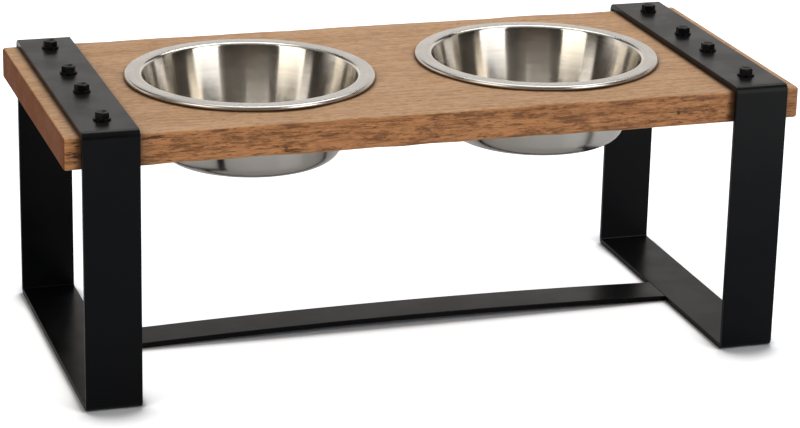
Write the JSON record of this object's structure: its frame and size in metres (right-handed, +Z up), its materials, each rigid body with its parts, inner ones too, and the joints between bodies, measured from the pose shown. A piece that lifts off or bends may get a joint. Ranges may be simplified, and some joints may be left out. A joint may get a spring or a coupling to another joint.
{
  "type": "raised pet feeder",
  "caption": "Raised pet feeder: a thick wooden board lies in two closed loops of black flat steel joined by a low arched bar, and steel bowls lift out of holes in the board.",
  "frame": {"origin": "on the floor under the middle of the stand, at the bottom centre of its bounding box", "axes": "+X along the board towards the right bowl, +Y from the front of the stand to its back, +Z up"},
  "size_m": [0.54, 0.248, 0.2074],
  "materials": {
    "oiled_wood": "oiled hardwood, sanded, satin",
    "black_coated_steel": "black powder coat, satin",
    "black_fasteners": "black coated screws and washers, satin",
    "brushed_stainless": "satin rim, brushed wall"
  },
  "bodies": {
    "stand": {"board": "oiled_wood", "left_frame": "black_coated_steel", "right_frame": "black_coated_steel", "cross_bar": "black_coated_steel", "left_screw_1": "black_fasteners", "left_screw_2": "black_fasteners", "left_screw_3": "black_fasteners", "left_screw_4": "black_fasteners", "right_screw_1": "black_fasteners", "right_screw_2": "black_fasteners", "right_screw_3": "black_fasteners", "right_screw_4": "black_fasteners", "left_washer_1": "black_fasteners", "left_washer_2": "black_fasteners", "left_washer_3": "black_fasteners", "left_washer_4": "black_fasteners", "right_washer_1": "black_fasteners", "right_washer_2": "black_fasteners", "right_washer_3": "black_fasteners", "right_washer_4": "black_fasteners"},
    "left_bowl": {"left_bowl": "brushed_stainless"},
    "right_bowl": {"right_bowl": "brushed_stainless"}
  },
  "joints": [
    {"name": "left_bowl_lift", "type": "slide", "parent": "stand", "child": "left_bowl", "axis": [0, 0, 1], "range_m": [0, 0.08]},
    {"name": "right_bowl_lift", "type": "slide", "parent": "stand", "child": "right_bowl", "axis": [0, 0, 1], "range_m": [0, 0.08]}
  ]
}
